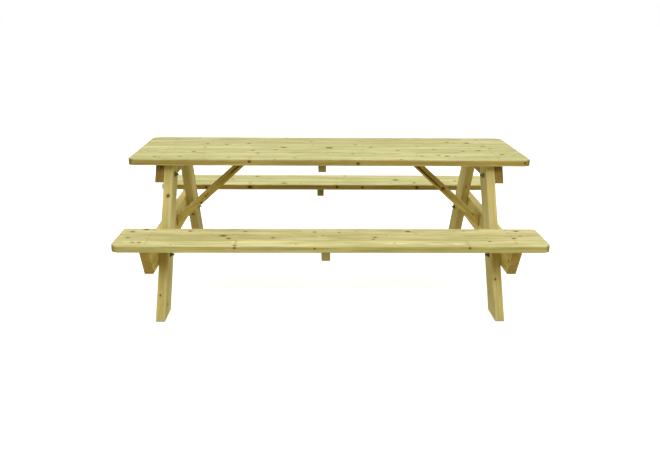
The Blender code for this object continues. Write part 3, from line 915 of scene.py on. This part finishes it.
def cross_recess(x, y, size):
    """Depth of a cross-shaped driver recess at a place on a screw head."""
    arm, half_width, depth = 0.62 * size, 0.13 * size, 0.42 * size
    reach = 0.0
    for run, aside in ((abs(x), abs(y)), (abs(y), abs(x))):
        wall = max(0.0, min(1.0, (half_width - aside) / (0.35 * half_width) + 1))
        reach = max(reach, wall * max(0.0, 1 - run / arm) ** 0.6)
    return depth * reach


def lathe(name, rings, steps, closed=False):
    """A mesh from rings of points, each a function of the angle that gives a radius and a height."""
    verts = []
    for ring in rings:
        for k in range(steps):
            angle = 2 * math.pi * k / steps
            radius, height = ring(angle)
            verts.append((radius * math.cos(angle), radius * math.sin(angle), height))
    loops = [range(first, first + steps) for first in range(0, len(verts), steps)]
    following = loops[1:] + loops[:1] if closed else loops[1:]
    faces = [quad for pair in zip(loops, following) for quad in band(*pair)]
    if not closed:
        faces += [list(loops[0]), list(reversed(loops[-1]))]
    return new_mesh(name, verts, faces, STEEL_CREASE)


def plain(radius, height):
    return lambda angle: (radius, height)


def thread_rings(start, end, radius, depth, pitch, per_turn):
    """Rings down a helical thread from one height to a lower one."""
    rings = []
    count = max(2, round((start - end) / pitch * per_turn))
    for k in range(count + 1):
        height = start + (end - start) * k / count
        fade = min(1.0, 4 * k / count, 4 * (count - k) / count + 0.15)

        def ring(angle, height=height, fade=fade):
            turn = (height / pitch + angle / (2 * math.pi)) % 1.0
            return radius - depth * fade * (1 - abs(2 * turn - 1)), height

        rings.append(ring)
    return rings


def screw_mesh(head, shank, length):
    """A countersunk cross-head screw, its head's top at the origin and its point below."""
    top = head / 2

    def head_ring(radius):
        return lambda angle: (radius, -cross_recess(radius * math.cos(angle), radius * math.sin(angle), top))

    shares = (0.02, 0.10, 0.18, 0.26, 0.34, 0.42, 0.50, 0.58, 0.66, 0.76, 0.88, 0.96)
    rings = [head_ring(top * share) for share in shares]
    rings += [plain(top, -0.15 * MM), plain(top, -0.7 * MM), plain(shank / 2, -0.7 * MM - (top - shank / 2)),
              plain(shank / 2, -0.35 * length)]
    rings += thread_rings(-0.36 * length, -length + 1.2 * shank, shank / 2, 0.14 * shank, 0.5 * shank,
                          THREAD_STEPS)
    rings.append(plain(0.2 * MM, -length))
    return lathe("screw", rings, SCREW_STEPS)


def bolt_mesh(head, length, head_height, shank, thread, pitch):
    """A carriage bolt: a domed head above the origin, and a shank with a rolled thread at its end."""
    rings = []
    for step in range(10):
        angle = math.pi / 2 * (step + 0.3) / 9.3
        rings.append(plain(head / 2 * math.sin(angle), head_height * math.cos(angle) ** 0.9))
    rings += [plain(head / 2 - 0.2 * MM, 0.0), plain(shank / 2, 0.0), plain(shank / 2, thread - length)]
    rings += thread_rings(thread - length - 1.0 * MM, 1.2 * MM - length, shank / 2, 0.9 * MM, pitch, 8)
    rings.append(plain(shank / 2 - 1.3 * MM, -length))
    return lathe("bolt", rings, BOLT_STEPS)


def nut_mesh(height, across_flats, bore):
    """A hexagon nut about Z with chamfered corners and a chamfered bore, centred on the origin."""
    half, radius, chamfer = height / 2, bore / 2, 0.7 * MM

    def outer(level):
        limit = across_flats / 2 * 0.96 + (half - abs(level)) * 1.75
        sector = math.radians(60)

        def ring(angle):
            hexagon = across_flats / 2 / math.cos((angle + sector / 2) % sector - sector / 2)
            return min(hexagon, limit), level
        return ring

    shares = (1.0, 0.93, 0.86, 0.79, 0.72, 0.64, 0.0, -0.64, -0.72, -0.79, -0.86, -0.93, -1.0)
    rings = [outer(half * share) for share in shares]
    rings += [plain(radius + chamfer, -half), plain(radius, -half + chamfer),
              plain(radius, half - chamfer), plain(radius + chamfer, half)]
    return lathe("nut", rings, NUT_STEPS, closed=True)


def washer_mesh(outer, inner, thickness):
    half, soft = thickness / 2, 0.25 * MM
    rings = [plain(outer / 2 - soft, half), plain(outer / 2, half - soft), plain(outer / 2, -half + soft),
             plain(outer / 2 - soft, -half), plain(inner / 2, -half), plain(inner / 2, half)]
    return lathe("washer", rings, BOLT_STEPS, closed=True)


def placed(mesh, place, direction, turn=0.0):
    """A copy of a mesh whose Z axis is turned to a direction at a place."""
    copy = mesh.copy()
    spin = Matrix.Rotation(turn, 4, "Z")
    aim = Vector((0, 0, 1)).rotation_difference(Vector(direction)).to_matrix().to_4x4()
    copy.transform(Matrix.Translation(place) @ aim @ spin)
    return copy


def joined(name, meshes):
    work = bmesh.new()
    for mesh in meshes:
        work.from_mesh(mesh)
    result = bpy.data.meshes.new(name)
    work.to_mesh(result)
    work.free()
    return result


def show_screws(name, screws, shape):
    """One piece for a row's screws, their heads sunk a little."""
    mesh = screw_mesh(**shape)
    meshes = [placed(mesh, Vector(point) - SCREW_SUNK * Vector(up), up, turn) for point, up, turn in screws]
    piece = shown(name, joined(name, meshes), "zinc_steel")
    piece.data.set_sharp_from_angle(angle=STEEL_CREASE)
    piece.data.materials.append(COATED)


def show_hardware(node, mesh, place, direction, turn=0.0):
    piece = shown(node + "_detailed", placed(mesh, place, direction, turn), "zinc_steel", node)
    piece.data.materials.append(ZINC)


def middle(node):
    low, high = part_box(node)
    return (low + high) / 2


def extent(node):
    low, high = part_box(node)
    return high - low


BOARD_ROWS = (
    ("tabletop", 7, CORNER_RADIUS, CORNER_RADIUS, "top_bearer_left"),
    ("front_seat", 3, CORNER_RADIUS, SEAT_INNER_CORNER_RADIUS, "seat_bearer_left"),
    ("rear_seat", 3, SEAT_INNER_CORNER_RADIUS, CORNER_RADIUS, "seat_bearer_left"),
)
for board_row in BOARD_ROWS:
    lay_row(*board_row)


# ------------ end frames, braces and battens

def sloping_timber(node, rough_grain, through):
    """A timber whose grain follows the longest side of its outline, roughly in a direction."""
    probe = Timber(node, rough_grain, through)
    edges = np.roll(probe.corners, -1, axis=0) - probe.corners
    longest = max(edges, key=np.linalg.norm)
    grain = math.copysign(1, longest[0]) * (probe.u * longest[0] + probe.v * longest[1])
    return Timber(node, grain, through)


def build_end_frame(side_name, side):
    """Two legs, the spacer block between their tops, and two bearers, all with their bolt or screw holes."""
    along_x, along_y = (1, 0, 0), (0, 1, 0)

    def bore_for_bolt(timber, level, end_name):
        place = middle(f"washer_{level}_{side_name}_{end_name}")
        through_hole(timber, place, BOLT_BORE, steps=24, ease=0.4 * MM)

    for end_name, end in (("front", -1), ("rear", 1)):
        leg = sloping_timber(f"leg_{side_name}_{end_name}", (0, -end, 1), along_x)
        for level in LEVELS:
            bore_for_bolt(leg, level, end_name)
        add_knots(leg, spacing=0.26, largest=8.0 * MM, edge_share=0.0)
        add_checks(leg, count=2, longest=0.16)
        build_timber(leg, f"leg_{end_name}")
    spacer = Timber(f"leg_spacer_{side_name}", along_y, along_x)
    for end_name in ENDS:
        screw_hole(spacer, middle(f"spacer_screw_{side_name}_{end_name}"), -side, FRAME_SCREW["head"])
    add_knots(spacer, spacing=0.2, largest=7.0 * MM, edge_share=0.2)
    build_timber(spacer, "spacer")
    for level in LEVELS:
        bearer = Timber(f"{level}_bearer_{side_name}", along_y, along_x)
        for end_name in ENDS:
            bore_for_bolt(bearer, level, end_name)
        add_knots(bearer, spacing=0.24, largest=9.0 * MM, edge_share=0.25)
        add_checks(bearer, count=3, longest=0.18)
        build_timber(bearer, f"{level}_bearer")


def screw_top(node, up):
    """The middle of the top of a CAD screw whose head faces a direction, and its length."""
    length = abs(extent(node).dot(up))
    return middle(node) + up * length / 2, length


def build_brace(side_name, side):
    """A brace, with recesses for its two screws."""
    brace = sloping_timber(f"brace_{side_name}", (-1, 0, side), (0, 1, 0))
    add_knots(brace, spacing=0.25, largest=5.0 * MM, edge_share=0.0)
    add_checks(brace, count=1, longest=0.10)
    recesses = []
    for place, up in (("foot", Vector((-side, 0, 0))), ("head", Vector((0, 0, -1)))):
        top, _ = screw_top(f"brace_{place}_screw_{side_name}", up)
        recesses.append((top - RECESS_BELOW_HEAD * up, top + RECESS_LENGTH * up))
    build_timber(brace, "brace", carve=recesses)


def build_batten(row, count):
    """A row's batten, with a screw from below into each board."""
    node = row + "_batten"
    batten = Timber(node, (0, 1, 0), (0, 0, 1))
    low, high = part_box(node)
    screws = []
    for number in range(1, count + 1):
        y = middle(f"{row}_board_{number}")[1]
        y = min(max(y, low[1] + SCREW_EDGE_DISTANCE), high[1] - SCREW_EDGE_DISTANCE)
        x = (low[0] + high[0]) / 2 + batten.random.uniform(-4, 4) * MM
        point = (x, y, low[2])
        screw_hole(batten, point, -1, BATTEN_SCREW["head"])
        screws.append((point, (0, 0, -1), batten.random.uniform(0, math.pi)))
    add_knots(batten, spacing=0.2, largest=5.0 * MM, edge_share=0.3)
    build_timber(batten, "batten")
    show_screws(node + "_screws", screws, BATTEN_SCREW)


def build_hardware(side_name, side):
    """The bolts, washers, nuts and screws of one end frame and its brace."""
    away, inward = Vector((side, 0, 0)), Vector((-side, 0, 0))
    for level, end in product(LEVELS, ENDS):
        bolt, washer, nut = (f"{kind}_{level}_{side_name}_{end}" for kind in ("bolt", "washer", "nut"))
        run, head, _ = extent(bolt)
        length = run - BOLT["head_height"]
        seat = middle(bolt) + (length - run / 2) * away
        show_hardware(bolt, bolt_mesh(head, length, **BOLT), seat, away)
        thickness, width, _ = extent(washer)
        washer_shape = washer_mesh(width, WASHER_BORE, thickness)
        show_hardware(washer, washer_shape, middle(washer), away, WASHER_TURN)
        show_hardware(nut, nut_mesh(extent(nut)[0], **NUT), middle(nut), away)
    for end in ENDS:
        show_cad_screw(f"spacer_screw_{side_name}_{end}", inward)
    show_cad_screw(f"brace_foot_screw_{side_name}", inward)
    show_cad_screw(f"brace_head_screw_{side_name}", Vector((0, 0, -1)))


def show_cad_screw(node, up):
    """A detailed screw in the place of a CAD screw whose head faces a direction."""
    top, length = screw_top(node, up)
    turn = random.Random(node).uniform(0, math.pi)
    show_hardware(node, screw_mesh(length=length, **FRAME_SCREW), top, up, turn)


for frame_side in SIDES:
    build_end_frame(*frame_side)
    build_brace(*frame_side)
    build_hardware(*frame_side)
for row_name, row_count, *_ in BOARD_ROWS:
    build_batten(row_name, row_count)


# ------------ floor, light and camera

def build_floor():
    corners = [(x * FLOOR_HALF, y * FLOOR_HALF, 0) for x, y in SQUARE]
    floor = new_object("floor", new_mesh("floor", corners, [(0, 1, 2, 3)]))
    material, nodes, shader = new_material("pale_floor", 0.1)
    seen = nodes.add("ShaderNodeLightPath").outputs["Is Camera Ray"]
    place = nodes.add("ShaderNodeTexCoord").outputs["Object"]
    cloud = nodes.noise(place, (1.1, 1.1, 1.1), 2.0)
    pale = nodes.mix(cloud, (0.90, 0.90, 0.90, 1.0), (0.93, 0.93, 0.93, 1.0))
    nodes.fill(shader, {
        "Base Color": nodes.mix(seen, (0.60, 0.52, 0.32, 1.0), pale),
        "Emission Color": WHITE,
        "Emission Strength": nodes.times(seen, FLOOR_GLOW),
        "Roughness": 0.95,
    })
    floor.data.materials.append(material)


def build_sky():
    """Soft light, weaker from the front than from above and the sides, with a white surround."""
    world = bpy.data.worlds.new("studio")
    bpy.context.scene.world = world
    world.use_nodes = True
    nodes = Nodes(world.node_tree)
    direction = nodes.add("ShaderNodeTexCoord").outputs["Generated"]
    split = nodes.add("ShaderNodeSeparateXYZ", direction).outputs
    strength = nodes.span(split["Z"], 0.0, 1.0, SKY_LOW, SKY_HIGH)
    front = nodes.math("MAXIMUM", nodes.times(split["Y"], -1.0), 0.0)
    strength = nodes.line(nodes.times(split["X"], split["X"]), SIDE_GAIN, strength)
    strength = nodes.line(front, -FRONT_LOSS, strength)
    seen = nodes.add("ShaderNodeLightPath").outputs["Is Camera Ray"]
    nodes.fill(world.node_tree.nodes["Background"].inputs,
               {"Color": nodes.mix(seen, strength, WHITE), "Strength": 1.0})


def build_soft_box(place, target, size, power):
    light = bpy.data.lights.new("front_soft_box", "AREA")
    light.shape = "RECTANGLE"
    light.size, light.size_y = size
    light.energy = power
    lamp = new_object("front_soft_box", light)
    lamp.location = place
    lamp.rotation_euler = (Vector(target) - Vector(place)).to_track_quat("-Z", "Y").to_euler()


def build_camera():
    camera = bpy.data.cameras.new("camera")
    camera.lens = CAMERA_LENS
    camera.sensor_width = SENSOR_WIDTH
    camera.sensor_fit = "HORIZONTAL"
    eye = new_object("camera", camera)
    view = Matrix.Translation(CAMERA_PLACE)
    for angle, axis in ((-CAMERA_YAW, "Z"), (math.pi / 2 + CAMERA_PITCH, "X"), (CAMERA_ROLL, "Z")):
        view = view @ Matrix.Rotation(angle, 4, axis)
    eye.matrix_world = view
    bpy.context.scene.camera = eye


build_floor()
build_sky()
build_soft_box(**SOFT_BOX)
build_camera()
bpy.context.scene.view_settings.view_transform = "Standard"
